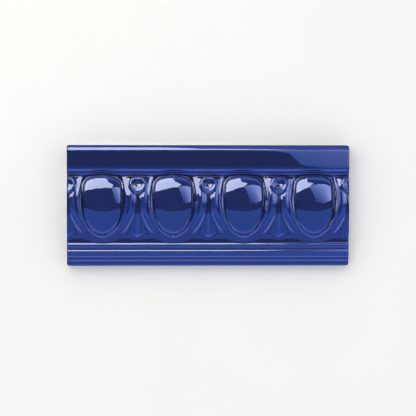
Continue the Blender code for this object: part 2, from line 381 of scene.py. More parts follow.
@dataclass
class Shell:
    """One shell: a dished husk that rises outward from the egg to a lip, with a fine line on it."""

    half_width: float = 13.1
    top_half_width: float = 11.2
    widest_line: float = 2.5
    foot_line: float = -16.5
    top_line: float = 14.6
    curve_power: float = 1.8
    curve_root: float = 0.6
    lean_power: float = 1.6
    arm_overrun: float = 1.25
    line_level: float = 13.7
    flank_slope: float = 0.46
    outer_slope: float = 0.38
    foot_slope: float = 0.12
    outer_reach: float = 2.2
    skirt_slope: float = 1.0
    blade_line: float = -9.0
    blade_reach: float = 4.0
    blade_fade: float = 3.0
    blade_skirt: float = 0.45
    shoulder_width_lines: tuple[float, float] = (-10.8, -4.5)
    shoulder_widths: tuple[float, ...] = (1.6, 2.0, 2.3, 2.2, 3.0)
    shoulder_slope_lines: tuple[float, float] = (-13.0, -7.0)
    shoulder_slopes: tuple[float, ...] = (0.42, 0.16, 0.10, 0.44, 0.42)
    lip_round: float = 0.4
    lip_height: float = 0.22
    lip_reach: float = 0.4
    line_height: float = 0.55
    line_reach: float = 0.40
    foot_line_height: float = 1.15
    foot_line_reach: float = 0.52
    foot_rise: float = 9.0
    top_level: float = 12.4
    top_slope: float = 3.2
    top_round: float = 0.6
    bowl_samples: int = 260
    arm_samples: int = 86

    def plan(self) -> np.ndarray:
        """Points of the fine line in plan, from the top of the right arm down to the foot.

        Below the widest line x is half_width times (1 - t to curve_power) to curve_root, with t
        the share of the way down. Above it the arm leans in as a power of the share of the way
        up, and it runs on past the top by arm_overrun.

        Returns:
            An array of (x, y) rows in mm.
        """
        share = np.sin(np.linspace(0.0, 0.5 * math.pi, self.bowl_samples))
        bowl_x = self.half_width * np.clip(1 - share ** self.curve_power, 0.0, None) ** self.curve_root
        bowl_y = self.widest_line - (self.widest_line - self.foot_line) * share
        rise = np.linspace(self.arm_overrun, 0.0, self.arm_samples, endpoint=False)
        lean = self.half_width - self.top_half_width
        arm_x = self.half_width - lean * rise ** self.lean_power
        arm_y = self.widest_line + (self.top_line - self.widest_line) * rise
        return np.column_stack([np.concatenate([arm_x, bowl_x]), np.concatenate([arm_y, bowl_y])])

    def from_line(self, u: np.ndarray, v: np.ndarray) -> tuple[np.ndarray, np.ndarray]:
        """Distance of each point outward from the fine line, and how far up the tile that line is.

        The nearest sample of the line is found, and the distance is measured along the normal of
        the line at that sample.

        Args:
            u: Distance from the egg's middle along the tile, in mm.
            v: Lines across the tile, in mm.

        Returns:
            The signed distances, and the v of the nearest sample.
        """
        line = self.plan()
        tangent = np.gradient(line, axis=0)
        tangent /= np.linalg.norm(tangent, axis=1)[:, None]
        normal = np.column_stack([-tangent[:, 1], tangent[:, 0]])
        points = np.column_stack([np.abs(u).ravel(), v.ravel()]).astype(np.float32)
        squares = ((points[:, None, :] - line[None, :, :].astype(np.float32)) ** 2).sum(axis=2)
        nearest = squares.argmin(axis=1)
        away = points - line[nearest]
        signed = (away * normal[nearest]).sum(axis=1)
        return signed.reshape(u.shape), line[nearest, 1].reshape(u.shape)

    def shoulder_width(self, at: np.ndarray) -> np.ndarray:
        """Width of the shoulder from the fine line to the lip, in mm, by the place up the tile."""
        lines = [self.foot_line, *self.shoulder_width_lines, self.widest_line, self.top_line]
        return np.interp(at, lines, self.shoulder_widths)

    def shoulder_slope(self, at: np.ndarray) -> np.ndarray:
        """How steeply the shoulder rises outward, by the place up the tile: least by the blade."""
        lines = [self.foot_line, *self.shoulder_slope_lines, self.widest_line, self.top_line]
        return np.interp(at, lines, self.shoulder_slopes)

    def skirt_share(self, at: np.ndarray) -> np.ndarray:
        """How far the skirt turns down, by the place up the tile: only in part by the blade."""
        clear = np.clip((np.abs(at - self.blade_line) - self.blade_reach) / self.blade_fade, 0.0, 1.0)
        return self.blade_skirt + (1 - self.blade_skirt) * clear

    def heights(self, u: np.ndarray, v: np.ndarray, spine: Spine) -> np.ndarray:
        """Heights of the shell.

        From the fine line the surface falls inward by flank_slope and rises outward by
        shoulder_slope to the lip, where an outer flank cuts it with a rounded edge and a low
        bell-shaped bead. The flank falls by foot_slope at the foot and by outer_slope above
        foot_rise, and past outer_reach it turns down as a steeper skirt. The fine line itself is
        a bell that stands on the surface, highest and broadest at the foot. At the top the arms
        are cut off by a steep slope.

        Args:
            u: Distance from the egg's middle along the tile, in mm.
            v: Lines across the tile, in mm.
            spine: The swell that the shell follows.

        Returns:
            Heights in mm.
        """
        away, at = self.from_line(u, v)
        up = [self.foot_line, self.foot_line + self.foot_rise]
        width = self.shoulder_width(at)
        level = self.line_level - spine.fall(v)
        slope = self.shoulder_slope(at)
        inward = self.flank_slope * np.clip(away, None, 0.0)
        outward = slope * np.clip(away, 0.0, None)
        dished = level + inward + outward
        past = away - width
        fall = np.interp(at, up, [self.foot_slope, self.outer_slope])
        outer = level + slope * width - fall * past
        skirt = self.skirt_slope * self.skirt_share(at)
        outer = outer - skirt * np.clip(past - self.outer_reach, 0.0, None)
        z = soft_min(dished, outer, self.lip_round) + self.lip_height * hump(past, self.lip_reach)
        stand = np.interp(at, up, [self.foot_line_height, self.line_height])
        reach = np.interp(at, up, [self.foot_line_reach, self.line_reach])
        z = z + stand * hump(away, reach)
        cut = self.top_level + self.top_slope * (self.top_line - v)
        return soft_min(z, cut, self.top_round)


@dataclass
class Dart:
    """One dart: a thin ridge above, a broad roofed blade below, and a point at its foot."""

    top_line: float = 7.0
    neck_line: float = -4.0
    corner_line: float = -14.0
    tip_line: float = -16.6
    top_level: float = 11.9
    neck_level: float = 12.4
    corner_level: float = 11.35
    tip_level: float = 11.0
    tip_half_width: float = 0.3
    corner_half_width: float = 4.4
    neck_half_width: float = 2.4
    top_half_width: float = 0.3
    roof_slope: float = 0.12
    side_slope: float = 1.5
    edge_round: float = 0.4
    ridge_height: float = 0.75
    ridge_reach_top: float = 0.40
    ridge_reach_foot: float = 0.85
    ridge_fade_power: int = 3

    def heights(self, u: np.ndarray, v: np.ndarray) -> np.ndarray:
        """Heights of the dart: a roof with a fine ridge on it, cut by walls along its outline.

        The ridge is a bell that grows broader and lower on its way down, as one less the share
        of the way to ridge_fade_power.

        Args:
            u: Distance from the dart's middle along the tile, in mm.
            v: Lines across the tile, in mm.

        Returns:
            Heights in mm.
        """
        stations = [self.tip_line, self.corner_line, self.neck_line, self.top_line]
        levels = [self.tip_level, self.corner_level, self.neck_level, self.top_level]
        widths = [self.tip_half_width, self.corner_half_width, self.neck_half_width, self.top_half_width]
        side = np.abs(u)
        level = np.interp(v, stations, levels)
        half_width = np.interp(v, stations, widths)
        roof = level - self.roof_slope * side
        edge = level - self.roof_slope * half_width
        wall = edge + self.side_slope * (half_width - side)
        past = np.clip(v - self.top_line, 0.0, None) + np.clip(self.tip_line - v, 0.0, None)
        down = np.clip((self.top_line - v) / (self.top_line - self.tip_line), 0.0, 1.0)
        reach = self.ridge_reach_top + (self.ridge_reach_foot - self.ridge_reach_top) * down
        ridge = self.ridge_height * (1 - down ** self.ridge_fade_power) * hump(u, reach)
        return soft_min(roof, wall, self.edge_round) + ridge - self.side_slope * past


@dataclass
class Dish:
    """One dish between the tops of two shells: a round boss with a stepped hollow in it."""

    line: float = 11.5
    boss_radius: float = 3.95
    lip_radius: float = 3.7
    floor_radius: float = 2.5
    step_radius: float = 2.1
    pit_radius: float = 0.5
    lip_level: float = 13.3
    floor_depth: float = 0.72
    step_depth: float = 0.45
    depth: float = 1.35
    wall_slope: float = 1.3
    lip_round: float = 0.3
    lean: float = 0.16
    top_line: float = 14.9
    top_drop: float = 0.9
    top_slope: float = 3.2

    def heights(self, u: np.ndarray, v: np.ndarray) -> np.ndarray:
        """Heights of the dish by the distance from its middle: lip, step and hollow.

        The whole dish falls gently toward the top band, and a steep slope cuts it off there.

        Args:
            u: Distance from the dish's middle along the tile, in mm.
            v: Lines across the tile, in mm.

        Returns:
            Heights in mm.
        """
        away = np.hypot(u, v - self.line)
        rings = [0.0, self.pit_radius, self.step_radius, self.floor_radius, self.lip_radius]
        depths = [self.depth, self.depth, self.step_depth, self.floor_depth, 0.0]
        hollow = self.lip_level - np.interp(away, rings, depths)
        outer = self.lip_level + self.wall_slope * (self.boss_radius - away)
        z = soft_min(hollow, outer, self.lip_round) - self.lean * (v - self.line)
        cut = self.lip_level - self.top_drop + self.top_slope * (self.top_line - v)
        return soft_min(z, cut, self.lip_round)


@dataclass
class Hem:
    """A low wavy terrace under the ornament, its edge rising in an arch on each side of a dart."""

    line: float = -17.3
    arch_place: float = 6.4
    arch_rise: float = 1.8
    arch_reach: float = 2.6
    level: float = 10.25
    reach: float = 2.6
    depth: float = 5.0

    def heights(self, u: np.ndarray, v: np.ndarray) -> np.ndarray:
        """Heights of the terrace: level behind its edge, and a bell's fall in front of it.

        The edge runs along the tile, and a bell on each side of a dart carries it up the tile.

        Args:
            u: Distance from the dart's middle along the tile, in mm.
            v: Lines across the tile, in mm.

        Returns:
            Heights in mm.
        """
        line = self.line + self.arch_rise * hump(u - self.arch_place, self.arch_reach)
        return self.level - self.depth * (1 - hump(np.clip(line - v, 0.0, None), self.reach))


@dataclass
class Relief:
    """The whole moulded face as one height field, joined from the bed and its ornament."""

    block: Block = field(default_factory=Block)
    spine: Spine = field(default_factory=Spine)
    bed: Bed = field(default_factory=Bed)
    egg: Egg = field(default_factory=Egg)
    shell: Shell = field(default_factory=Shell)
    dart: Dart = field(default_factory=Dart)
    dish: Dish = field(default_factory=Dish)
    hem: Hem = field(default_factory=Hem)
    cell: float = 0.2
    valley_fillet: float = 0.3
    glaze_softness: float = 0.24
    rim_keep: float = 2.0

    def one_pitch(self) -> tuple[np.ndarray, np.ndarray]:
        """Heights of one egg with the half darts on its two sides, on an even grid.

        Returns:
            The lines across the tile (v) and the grid of heights, in mm.
        """
        half = 0.5 * self.block.pitch
        steps_u = int(round(self.block.pitch / self.cell))
        steps_v = int(round(self.block.width / self.cell))
        u = np.linspace(-half, half, steps_u + 1)
        v = np.linspace(-0.5 * self.block.width, 0.5 * self.block.width, steps_v + 1)
        grid_u, grid_v = np.meshgrid(u, v)
        from_dart = half - np.abs(grid_u)
        forms = (
            self.shell.heights(grid_u, grid_v, self.spine),
            self.hem.heights(from_dart, grid_v),
            self.dart.heights(from_dart, grid_v),
            self.dish.heights(from_dart, grid_v),
            self.egg.heights(grid_u, grid_v),
        )
        z = self.bed.section(v, self.block)[:, None]
        for form in forms:
            z = soft_max(z, form, self.valley_fillet)
        return v, z

    def face(self) -> tuple[np.ndarray, np.ndarray, np.ndarray]:
        """Heights of the whole face: the pitch repeated and softened by the glaze.

        Within rim_keep of the two long rims the glaze softens it less and less across the tile.

        Returns:
            The lines along (x), the lines across (y) and the grid of heights, in mm.
        """
        v, pitch = self.one_pitch()
        whole = np.hstack([pitch[:, :-1]] * self.block.egg_count + [pitch[:, -1:]])
        x = np.linspace(-0.5 * self.block.length, 0.5 * self.block.length, whole.shape[1])
        reach = self.glaze_softness / self.cell
        inner = soften(whole, reach)
        keep = np.clip((0.5 * self.block.width - np.abs(v)) / self.rim_keep, 0.0, 1.0)[:, None]
        z = inner * keep + blurred(whole, reach, axis=1) * (1 - keep)
        return x, v, z


def between(x: np.ndarray, y: np.ndarray, grid: np.ndarray,
            to_x: np.ndarray, to_y: np.ndarray) -> np.ndarray:
    """Read an even grid at other lines, straight between its cells.

    Args:
        x: The grid's lines along.
        y: The grid's lines across.
        grid: Values with one row for each y.
        to_x: The wanted lines along.
        to_y: The wanted lines across.

    Returns:
        Values with one row for each wanted y.
    """
    rows = np.array([np.interp(to_x, x, row) for row in grid])
    return np.array([np.interp(to_y, y, column) for column in rows.T]).T


@dataclass
class TileBody:
    """The tile as one closed mesh: the moulded face, the four sides and the flat back."""

    relief: Relief = field(default_factory=Relief)
    spacing_x: float = 0.36
    spacing_y: float = 0.33
    rim_steps: int = 5
    side_levels: tuple[float, ...] = (0.78, 0.56, 0.36, 0.2, 0.1, 0.05, 0.0)
    back_chamfer: float = 0.35
    pool_reach: float = 1.1
    pool_depth: float = 1.0
    side_depth: float = 0.45
    run_slope: float = 1.0
    run_full_slope: float = 1.8

    def stations(self, length: float, spacing: float, rim: float) -> np.ndarray:
        """Lines over one side of the face: even within, and in the rim at the sines of even angles.

        Args:
            length: The side's length in mm.
            spacing: The distance between lines in mm.
            rim: The width of the turned-down rim in mm.

        Returns:
            Lines from minus to plus half the length.
        """
        inner = 0.5 * length - rim
        even = np.linspace(-inner, inner, int(round(2 * inner / spacing)) + 1)
        turn = np.linspace(0.0, 0.5 * math.pi, self.rim_steps + 1)[1:]
        out = inner + rim * np.sin(turn)
        return np.concatenate([-out[::-1], even, out])

    def build(self) -> bpy.types.Object:
        """Make the closed mesh and its glaze attributes.

        The face is the height field, with both ends turned down as quarter circles. Each side
        drops from the face's rim to the back, and the plan is drawn in at the four corners. The
        glaze's depth is one half plus half of (a broad mean of the heights less the height) over
        pool_depth, so it is thick in hollows and thin on edges.

        Returns:
            The tile's object, at the origin.
        """
        block = self.relief.block
        grid_x, grid_y, heights = self.relief.face()
        x = self.stations(block.length, self.spacing_x, block.end_round)
        y = self.stations(block.width, self.spacing_y, block.end_round)
        z = between(grid_x, grid_y, heights, x, y)
        # How hollow each point is; the glaze depth made from it darkens the hollows, partly as painted
        # shade.
        pooled_shade = soften(heights, self.pool_reach / self.relief.cell) - heights
        depth = np.clip(0.5 + 0.5 * pooled_shade / self.pool_depth, 0.0, 1.0)
        depth = between(grid_x, grid_y, depth, x, y)
        run = between(grid_x, grid_y, self.glaze_run(heights), x, y)
        z = z - quarter_round(0.5 * block.length - np.abs(x), block.end_round)[None, :]
        plan_x, plan_y = self.rounded_plan(x, y)
        face = np.stack([plan_x, plan_y, z], axis=2)
        vertices, faces, ring = self.face_mesh(face)
        count = len(vertices)
        rings = [vertices[ring] * [1, 1, share] for share in self.side_levels]
        rings[-1] = rings[-1] * self.back_scale(block)
        vertices = np.concatenate([vertices] + rings)
        sides = self.side_faces(ring, count)
        back = [list(range(len(vertices) - len(ring), len(vertices)))]
        mesh = bpy.data.meshes.new("glazed_tile")
        mesh.from_pydata((vertices * MM).tolist(), [], faces.tolist() + sides.tolist() + back)
        mesh.polygons.foreach_set("use_smooth", [True] * len(mesh.polygons))
        tile = bpy.data.objects.new("glazed_tile", mesh)
        bpy.context.scene.collection.objects.link(tile)
        self.mark(mesh, depth, run, len(ring))
        return tile

    def glaze_run(self, heights: np.ndarray) -> np.ndarray:
        """How far the glaze has run off the walls: the slope's share from run_slope to full.

        Args:
            heights: The face's grid of heights in mm.

        Returns:
            Values from 0 to 1 on the same grid.
        """
        rise_y, rise_x = np.gradient(heights, self.relief.cell)
        slope = np.hypot(rise_x, rise_y)
        return np.clip((slope - self.run_slope) / (self.run_full_slope - self.run_slope), 0.0, 1.0)

    def back_scale(self, block: Block) -> np.ndarray:
        """How much the last ring is drawn in, so that the back has a small chamfer."""
        along = 1 - 2 * self.back_chamfer / block.length
        across = 1 - 2 * self.back_chamfer / block.width
        return np.array([along, across, 1.0])

    def rounded_plan(self, x: np.ndarray, y: np.ndarray) -> tuple[np.ndarray, np.ndarray]:
        """Draw the plan in at its corners, so that the outline turns there as a quarter circle.

        In a corner each share of the radius is multiplied by the root of one less half of the
        other share squared, which carries a square onto a disc.

        Args:
            x: Lines along the face in mm.
            y: Lines across the face in mm.

        Returns:
            The x and the y of every vertex of the face.
        """
        block = self.relief.block
        half_length, half_width = 0.5 * block.length, 0.5 * block.width
        grid_x, grid_y = np.meshgrid(x, y)
        radius = block.corner_radius
        from_end = np.clip(np.abs(grid_x) - (half_length - radius), 0.0, radius) / radius
        from_side = np.clip(np.abs(grid_y) - (half_width - radius), 0.0, radius) / radius
        pull_x = np.sqrt(1 - 0.5 * from_side ** 2)
        pull_y = np.sqrt(1 - 0.5 * from_end ** 2)
        core_x = np.clip(np.abs(grid_x), 0.0, half_length - radius)
        core_y = np.clip(np.abs(grid_y), 0.0, half_width - radius)
        plan_x = np.sign(grid_x) * (core_x + radius * from_end * pull_x)
        plan_y = np.sign(grid_y) * (core_y + radius * from_side * pull_y)
        return plan_x, plan_y

    def face_mesh(self, face: np.ndarray) -> tuple[np.ndarray, np.ndarray, np.ndarray]:
        """Number the face's vertices and join them as quads.

        Args:
            face: The (x, y, z) of every vertex, by row and column.

        Returns:
            The vertices, the quads, and the ring of outline vertices, anticlockwise from above.
        """
        rows, columns = face.shape[:2]
        number = np.arange(rows * columns).reshape(rows, columns)
        corners = [number[:-1, :-1], number[:-1, 1:], number[1:, 1:], number[1:, :-1]]
        quads = np.stack([corner.ravel() for corner in corners], axis=1)
        ring = np.concatenate([number[0, :-1], number[:-1, -1], number[-1, :0:-1], number[:0:-1, 0]])
        return face.reshape(-1, 3), quads, ring

    def side_faces(self, ring: np.ndarray, count: int) -> np.ndarray:
        """Join the outline and the rings below it as quads that face outward.

        Args:
            ring: The outline's vertices in the face.
            count: The number of vertices in the face.

        Returns:
            The quads.
        """
        size = len(ring)
        levels = [ring] + [count + size * step + np.arange(size) for step in range(len(self.side_levels))]
        bands = []
        for upper, lower in zip(levels, levels[1:]):
            bands.append(np.stack([upper, lower, np.roll(lower, -1), np.roll(upper, -1)], axis=1))
        return np.concatenate(bands)

    def mark(self, mesh: bpy.types.Mesh, depth: np.ndarray, run: np.ndarray, ring_size: int) -> None:
        """Write the glaze attributes and give the back its own material slot.

        Args:
            mesh: The tile's mesh.
            depth: How thick the glaze stands on the face, 0 to 1; its thick end also darkens the hollows
                as painted shade in part.
            run: How far the glaze has run off the face's walls, 0 to 1.
            ring_size: The number of vertices in one ring of the side.
        """
        cover = np.repeat(np.array(self.side_levels), ring_size)
        values = {
            Layer.GLAZE_DEPTH: np.concatenate([depth.ravel(), np.full(cover.size, self.side_depth)]),
            Layer.GLAZE_COVER: np.concatenate([np.ones(depth.size), cover]),
            Layer.GLAZE_RUN: np.concatenate([run.ravel(), np.zeros(cover.size)]),
        }
        for layer, numbers in values.items():
            attribute = mesh.attributes.new(layer.value, "FLOAT", "POINT")
            attribute.data.foreach_set("value", numbers.astype(np.float32))
        slots = np.zeros(len(mesh.polygons), dtype=np.int32)
        slots[-1] = Face.BARE.value
        mesh.polygons.foreach_set("material_index", slots)
        mesh.update()


class NodeDesk:
    """Lays nodes into one node tree and joins them."""

    def __init__(self, tree: bpy.types.NodeTree) -> None:
        """Keep the tree that the nodes go into."""
        self.tree = tree

    def add(self, kind: str, **settings: object) -> bpy.types.Node:
        """Add a node and set its own properties.

        Args:
            kind: The node's type name.
            **settings: Property names and values.

        Returns:
            The node.
        """
        node = self.tree.nodes.new(kind)
        for name, value in settings.items():
            setattr(node, name, value)
        return node

    def join(self, source: bpy.types.NodeSocket, target: bpy.types.NodeSocket) -> None:
        """Link an output to an input."""
        self.tree.links.new(source, target)

    def mix(self, factor: bpy.types.NodeSocket, low: object, high: object) -> bpy.types.NodeSocket:
        """Mix two colours, each a socket or a plain colour.

        Args:
            factor: The share of the second colour.
            low: The first colour.
            high: The second colour.

        Returns:
            The mixed colour's socket.
        """
        node = self.add("ShaderNodeMix", data_type="RGBA")
        self.join(factor, node.inputs["Factor"])
        for slot, value in (("A", low), ("B", high)):
            socket = [entry for entry in node.inputs if entry.name == slot and entry.type == "RGBA"][0]
            if isinstance(value, bpy.types.NodeSocket):
                self.join(value, socket)
            else:
                socket.default_value = (*value, 1.0)
        return [entry for entry in node.outputs if entry.type == "RGBA"][0]

    def spread(self, source: bpy.types.NodeSocket, low: float, high: float,
               to_low: float, to_high: float) -> bpy.types.NodeSocket:
        """Carry a value from one range smoothly to another.

        Args:
            source: The value.
            low: The start of its range.
            high: The end of its range.
            to_low: What the start becomes.
            to_high: What the end becomes.

        Returns:
            The new value's socket.
        """
        node = self.add("ShaderNodeMapRange", interpolation_type="SMOOTHSTEP")
        self.join(source, node.inputs["Value"])
        ends = {"From Min": low, "From Max": high, "To Min": to_low, "To Max": to_high}
        for label, value in ends.items():
            node.inputs[label].default_value = value
        return node.outputs["Result"]

    def bump(self, height: bpy.types.NodeSocket, distance: float, shader: bpy.types.Node) -> None:
        """Raise a shader's surface by a height.

        Args:
            height: The height, from 0 to 1.
            distance: What a height of 1 stands for, in metres.
            shader: The shader.
        """
        node = self.add("ShaderNodeBump")
        node.inputs["Distance"].default_value = distance
        self.join(height, node.inputs["Height"])
        self.join(node.outputs["Normal"], shader.inputs["Normal"])


def principled(name: str) -> tuple[bpy.types.Material, NodeDesk, bpy.types.Node]:
    """Start a material.

    Args:
        name: The material's name.

    Returns:
        The material, a desk for its nodes, and its Principled shader.
    """
    material = bpy.data.materials.new(name)
    material.use_nodes = True
    return material, NodeDesk(material.node_tree), material.node_tree.nodes["Principled BSDF"]


@dataclass(frozen=True)
class ClayMottle:
    """A group of cloudy and fine noise that the glaze, the bare clay and the plaster use."""

    name: str = "clay_mottle"
    cloud_scale: float = 60.0
    cloud_detail: float = 3.0
    fine_scale: float = 400.0
    fine_detail: float = 2.0

    def group(self) -> bpy.types.NodeTree:
        """Build the group once: scales go in, a cloud value and a fine height come out.

        Returns:
            The node group.
        """
        known = bpy.data.node_groups.get(self.name)
        if known:
            return known
        tree = bpy.data.node_groups.new(self.name, "ShaderNodeTree")
        layers = (
            ("Cloud", self.cloud_scale, self.cloud_detail),
            ("Fine", self.fine_scale, self.fine_detail),
        )
        for label, scale, _ in layers:
            name = f"{label} Scale"
            socket = tree.interface.new_socket(name, in_out="INPUT", socket_type="NodeSocketFloat")
            socket.default_value = scale
            tree.interface.new_socket(label, in_out="OUTPUT", socket_type="NodeSocketFloat")
        desk = NodeDesk(tree)
        source = desk.add("NodeGroupInput")
        target = desk.add("NodeGroupOutput")
        place = desk.add("ShaderNodeTexCoord")
        for label, _, detail in layers:
            noise = desk.add("ShaderNodeTexNoise", noise_dimensions="3D")
            noise.inputs["Detail"].default_value = detail
            desk.join(place.outputs["Object"], noise.inputs["Vector"])
            desk.join(source.outputs[f"{label} Scale"], noise.inputs["Scale"])
            desk.join(noise.outputs["Fac"], target.inputs[label])
        return tree

    def place(self, desk: NodeDesk, cloud: float, fine: float) -> bpy.types.Node:
        """Put the group into a material.

        Args:
            desk: The material's nodes.
            cloud: Scale of the clouds, per metre.
            fine: Scale of the fine grain, per metre.

        Returns:
            The group's node.
        """
        node = desk.add("ShaderNodeGroup", node_tree=self.group())
        node.inputs["Cloud Scale"].default_value = cloud
        node.inputs["Fine Scale"].default_value = fine
        return node


@dataclass(frozen=True)
class BareClay:
    """The unglazed back: pale buff fired clay with a dry, sandy grain."""

    name: str = "bare_clay"
    light: Colour = (0.74, 0.69, 0.60)
    dark: Colour = (0.60, 0.54, 0.45)
    roughness: float = 0.88
    cloud_scale: float = 90.0
    grain_scale: float = 1500.0
    grain_height: float = 0.00006

    def material(self) -> bpy.types.Material:
        """Build the material."""
        material, desk, shader = principled(self.name)
        mottle = ClayMottle().place(desk, self.cloud_scale, self.grain_scale)
        desk.join(desk.mix(mottle.outputs["Cloud"], self.dark, self.light), shader.inputs["Base Color"])
        desk.bump(mottle.outputs["Fine"], self.grain_height, shader)
        shader.inputs["Roughness"].default_value = self.roughness
        return material


@dataclass(frozen=True)
class BlueGlaze:
    """Deep cobalt glaze: brighter blue on sharp edges, dull on steep walls, and dark in hollows,
    partly as pooled glaze and partly as painted shade.

    The starts and ends are the values of an attribute between which one look passes to the next.
    """

    name: str = "blue_glaze"
    thin: Colour = (0.018, 0.038, 0.205)
    body: Colour = (0.0125, 0.0185, 0.078)
    # Near-black colour of the hollows: pooled glaze, and in part painted shade.
    pooled_shade: Colour = (0.0075, 0.0085, 0.030)
    body_start: float = 0.36
    body_end: float = 0.50
    # Depths over which the hollows darken to that colour, partly as painted shade.
    shade_pool_start: float = 0.52
    shade_pool_end: float = 0.80
    tint: Colour = (0.45, 0.55, 1.0)
    ior: float = 1.5
    smooth: float = 0.035
    dull: float = 0.55
    clay: BareClay = field(default_factory=BareClay)
    cloud_scale: float = 45.0
    peel_scale: float = 260.0
    peel_height: float = 0.000012
    cover_start: float = 0.10
    cover_end: float = 0.17
    cover_waver: float = 0.08

    def material(self) -> bpy.types.Material:
        """Build the material. Its roughness is the greater of the cover's and the run's."""
        material, desk, shader = principled(self.name)
        mottle = ClayMottle().place(desk, self.cloud_scale, self.peel_scale)
        depth, cover, run = (
            desk.add("ShaderNodeAttribute", attribute_name=layer.value).outputs["Fac"]
            for layer in (Layer.GLAZE_DEPTH, Layer.GLAZE_COVER, Layer.GLAZE_RUN)
        )
        thick = desk.spread(depth, self.body_start, self.body_end, 0.0, 1.0)
        # Painted shade in part: the hollows darken toward the near-black colour.
        deep_shade = desk.spread(depth, self.shade_pool_start, self.shade_pool_end, 0.0, 1.0)
        colour = desk.mix(thick, self.thin, self.body)
        colour = desk.mix(deep_shade, colour, self.pooled_shade)
        wavy = desk.add("ShaderNodeMath", operation="MULTIPLY_ADD")
        desk.join(mottle.outputs["Cloud"], wavy.inputs[0])
        wavy.inputs[1].default_value = self.cover_waver
        desk.join(cover, wavy.inputs[2])
        glazed = desk.spread(wavy.outputs["Value"], self.cover_start, self.cover_end, 0.0, 1.0)
        clay = desk.mix(mottle.outputs["Cloud"], self.clay.dark, self.clay.light)
        desk.join(desk.mix(glazed, clay, colour), shader.inputs["Base Color"])
        rough = desk.add("ShaderNodeMath", operation="MAXIMUM")
        desk.join(desk.spread(glazed, 0.0, 1.0, self.clay.roughness, self.smooth), rough.inputs[0])
        desk.join(desk.spread(run, 0.0, 1.0, self.smooth, self.dull), rough.inputs[1])
        desk.join(rough.outputs["Value"], shader.inputs["Roughness"])
        desk.bump(mottle.outputs["Fine"], self.peel_height, shader)
        shader.inputs["IOR"].default_value = self.ior
        shader.inputs["Specular Tint"].default_value = (*self.tint, 1.0)
        return material


@dataclass(frozen=True)
class PalePlaster:
    """The floor: even off-white plaster."""

    name: str = "pale_plaster"
    light: Colour = (0.83, 0.825, 0.81)
    dark: Colour = (0.79, 0.785, 0.77)
    roughness: float = 0.95
    specular_level: float = 0.1
    cloud_scale: float = 14.0
    grain_scale: float = 500.0

    def material(self) -> bpy.types.Material:
        """Build the material."""
        material, desk, shader = principled(self.name)
        mottle = ClayMottle().place(desk, self.cloud_scale, self.grain_scale)
        desk.join(desk.mix(mottle.outputs["Cloud"], self.dark, self.light), shader.inputs["Base Color"])
        shader.inputs["Roughness"].default_value = self.roughness
        shader.inputs["Specular IOR Level"].default_value = self.specular_level
        return material


def flat_panel(name: str, corners: list[Point], material: bpy.types.Material) -> bpy.types.Object:
    """Make one flat face and put it into the scene.

    Args:
        name: The name of the object and of its mesh.
        corners: Its corners in order, in mm.
        material: What it is made of.

    Returns:
        The panel's object.
    """
    mesh = bpy.data.meshes.new(name)
    mesh.from_pydata((np.array(corners) * MM).tolist(), [], [tuple(range(len(corners)))])
    mesh.materials.append(material)
    panel = bpy.data.objects.new(name, mesh)
    bpy.context.scene.collection.objects.link(panel)
    return panel


@dataclass(frozen=True)
class Lamp:
    """A flat rectangular lamp. Its place and size are in mm, and its glow is a radiance."""

    name: str
    centre: Point
    target: Point
    width: float
    height: float
    colour: Colour
    glow: float

    def build(self) -> bpy.types.Object:
        """Make the lamp, hidden from the camera and from the gloss."""
        data = bpy.data.lights.new(self.name, "AREA")
        data.shape = "RECTANGLE"
        data.size = self.width * MM
        data.size_y = self.height * MM
        data.color = self.colour
        data.energy = self.glow * math.pi * data.size * data.size_y
        lamp = bpy.data.objects.new(self.name, data)
        centre = Vector(self.centre) * MM
        turn = (Vector(self.target) * MM - centre).to_track_quat("-Z", "Y").to_matrix().to_4x4()
        lamp.matrix_world = Matrix.Translation(centre) @ turn
        lamp.visible_camera = False
        lamp.visible_glossy = False
        bpy.context.scene.collection.objects.link(lamp)
        return lamp


@dataclass(frozen=True)
class Softbox:
    """A level glowing panel over the tile that only the gloss mirrors, with its outline in mm.

    Its glow is even, or where it has a far glow, it passes from one to the other along a run.
    """

    name: str
    outline: tuple[tuple[float, float], ...]
    level: float
    glow: Colour
    far_glow: Colour | None = None
    run_start: tuple[float, float] = (0.0, 0.0)
    run_end: tuple[float, float] = (1.0, 0.0)

    def build(self) -> bpy.types.Object:
        """Make the panel as one flat face, facing down, hidden from the camera, the diffuse light, the
        transmission and the shadows.
        """
        corners = [(x, y, self.level) for x, y in self.outline]
        panel = flat_panel(self.name, corners, self.material())
        panel.visible_camera = False
        panel.visible_diffuse = False
        panel.visible_transmission = False
        panel.visible_shadow = False
        return panel

    def material(self) -> bpy.types.Material:
        """Build the glowing material."""
        material = bpy.data.materials.new(self.name)
        material.use_nodes = True
        tree = material.node_tree
        tree.nodes.clear()
        desk = NodeDesk(tree)
        emission = desk.add("ShaderNodeEmission")
        strength = max(self.glow)
        near = [value / strength for value in self.glow]
        emission.inputs["Color"].default_value = (*near, 1.0)
        emission.inputs["Strength"].default_value = strength
        if self.far_glow:
            far = [value / strength for value in self.far_glow]
            desk.join(desk.mix(self.run_share(desk), near, far), emission.inputs["Color"])
        output = desk.add("ShaderNodeOutputMaterial")
        desk.join(emission.outputs["Emission"], output.inputs["Surface"])
        return material

    def run_share(self, desk: NodeDesk) -> bpy.types.NodeSocket:
        """How far a point lies along the run: its offset from the start, projected on the run.

        Args:
            desk: The material's nodes.

        Returns:
            The share's socket, 0 at the start and 1 at the end.
        """
        run = (Vector(self.run_end) - Vector(self.run_start)) * MM
        place = desk.add("ShaderNodeTexCoord")
        offset = desk.add("ShaderNodeVectorMath", operation="SUBTRACT")
        desk.join(place.outputs["Object"], offset.inputs[0])
        offset.inputs[1].default_value = (*(Vector(self.run_start) * MM), 0.0)
        along = desk.add("ShaderNodeVectorMath", operation="DOT_PRODUCT")
        desk.join(offset.outputs["Vector"], along.inputs[0])
        along.inputs[1].default_value = (*(run / run.length_squared), 0.0)
        share = desk.add("ShaderNodeClamp")
        desk.join(along.outputs["Value"], share.inputs["Value"])
        return share.outputs["Result"]


